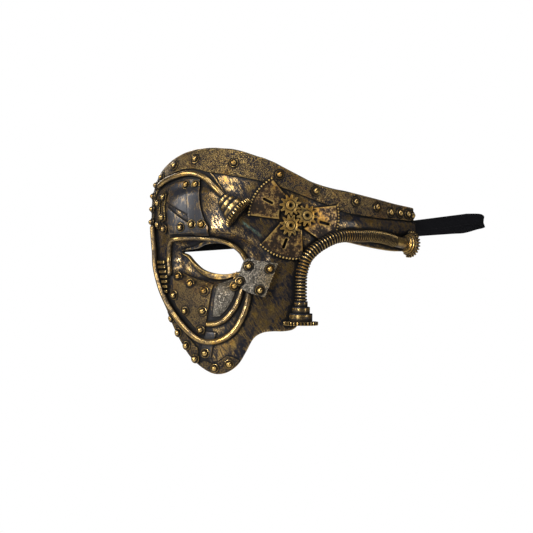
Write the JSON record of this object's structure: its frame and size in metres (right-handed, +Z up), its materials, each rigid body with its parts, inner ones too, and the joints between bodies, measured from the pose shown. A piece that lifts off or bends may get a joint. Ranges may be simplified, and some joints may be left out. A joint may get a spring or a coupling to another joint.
{
  "type": "half face mask",
  "caption": "Half face mask with one eye hole and a long temple arm, dressed with pipes, riveted plates, meshed gears and a ringed hose, worn on an elastic band.",
  "frame": {"origin": "on the skin at the bridge of the nose, in the mid-plane of the face and level with the eye hole", "axes": "the wearer looks along -Y, so the head goes in from +Y; +X is the wearer's left; +Z is up"},
  "size_m": [0.1049, 0.2443, 0.1573],
  "materials": {
    "aged_shell": "near-black paint, dry-brushed with gold and bronze",
    "grained_band": "near-black paint over an embossed grain, rubbed with bronze",
    "slate_plate": "slate grey paint, edges rubbed bright",
    "pewter_plate": "silver-pewter paint over an embossed grain",
    "dark_lid": "dark paint, semi-gloss",
    "bronze_lid": "bronze paint, semi-gloss",
    "gold_pipe": "antique gold paint, dark in the hollows",
    "gold_rivet": "antique gold paint, dark round the foot",
    "bronze_fitting": "bronze paint, dark in the grooves",
    "copper_blade": "brown copper paint, mottled",
    "tan_gear": "tan bronze paint, dark in the hollows",
    "hose_black": "black paint",
    "hose_bronze": "bronze paint, black between the rings",
    "black_elastic": "woven black elastic"
  },
  "bodies": {
    "root": {"face_shell": "aged_shell", "forehead_band": "grained_band", "band_rivets": "gold_rivet", "arm_end_rivets": "gold_rivet", "brow_pipe": "gold_pipe", "brow_union": "bronze_fitting", "brow_union_flange": "bronze_fitting", "upper_brow_plate": "slate_plate", "lower_brow_plate": "slate_plate", "brow_strap": "slate_plate", "outer_brow_link": "bronze_fitting", "inner_brow_link": "bronze_fitting", "brow_rivets": "gold_rivet", "eye_frame_pipe": "gold_pipe", "upper_eyelid": "dark_lid", "lower_eyelid": "bronze_lid", "bridge_comb": "bronze_fitting", "edge_pipe": "gold_pipe", "inner_pipe": "gold_pipe", "cheek_plate": "grained_band", "cheek_rivets": "gold_rivet", "cheek_insert": "pewter_plate", "star_gear": "gold_rivet", "corner_plate": "pewter_plate", "corner_rivets": "gold_rivet", "jaw_edge_strip": "aged_shell", "jaw_strap": "aged_shell", "jaw_plate": "grained_band", "jaw_rivets": "gold_rivet", "fan_blade_front": "copper_blade", "fan_blade_rear": "copper_blade", "fan_blade_lower": "copper_blade", "gear_upper": "tan_gear", "gear_rear": "tan_gear", "gear_lower": "tan_gear", "gear_eyelets": "gold_rivet", "hose_core": "hose_black", "hose_rings": "hose_bronze", "hose_lower_collar": "bronze_fitting", "hose_lower_flange": "bronze_fitting", "hose_sleeve": "hose_bronze", "hose_upper_collar": "bronze_fitting", "hose_upper_flange": "bronze_fitting", "elastic_strap": "black_elastic", "near_strap_rivet": "gold_rivet", "far_strap_rivet": "gold_rivet"}
  },
  "joints": []
}
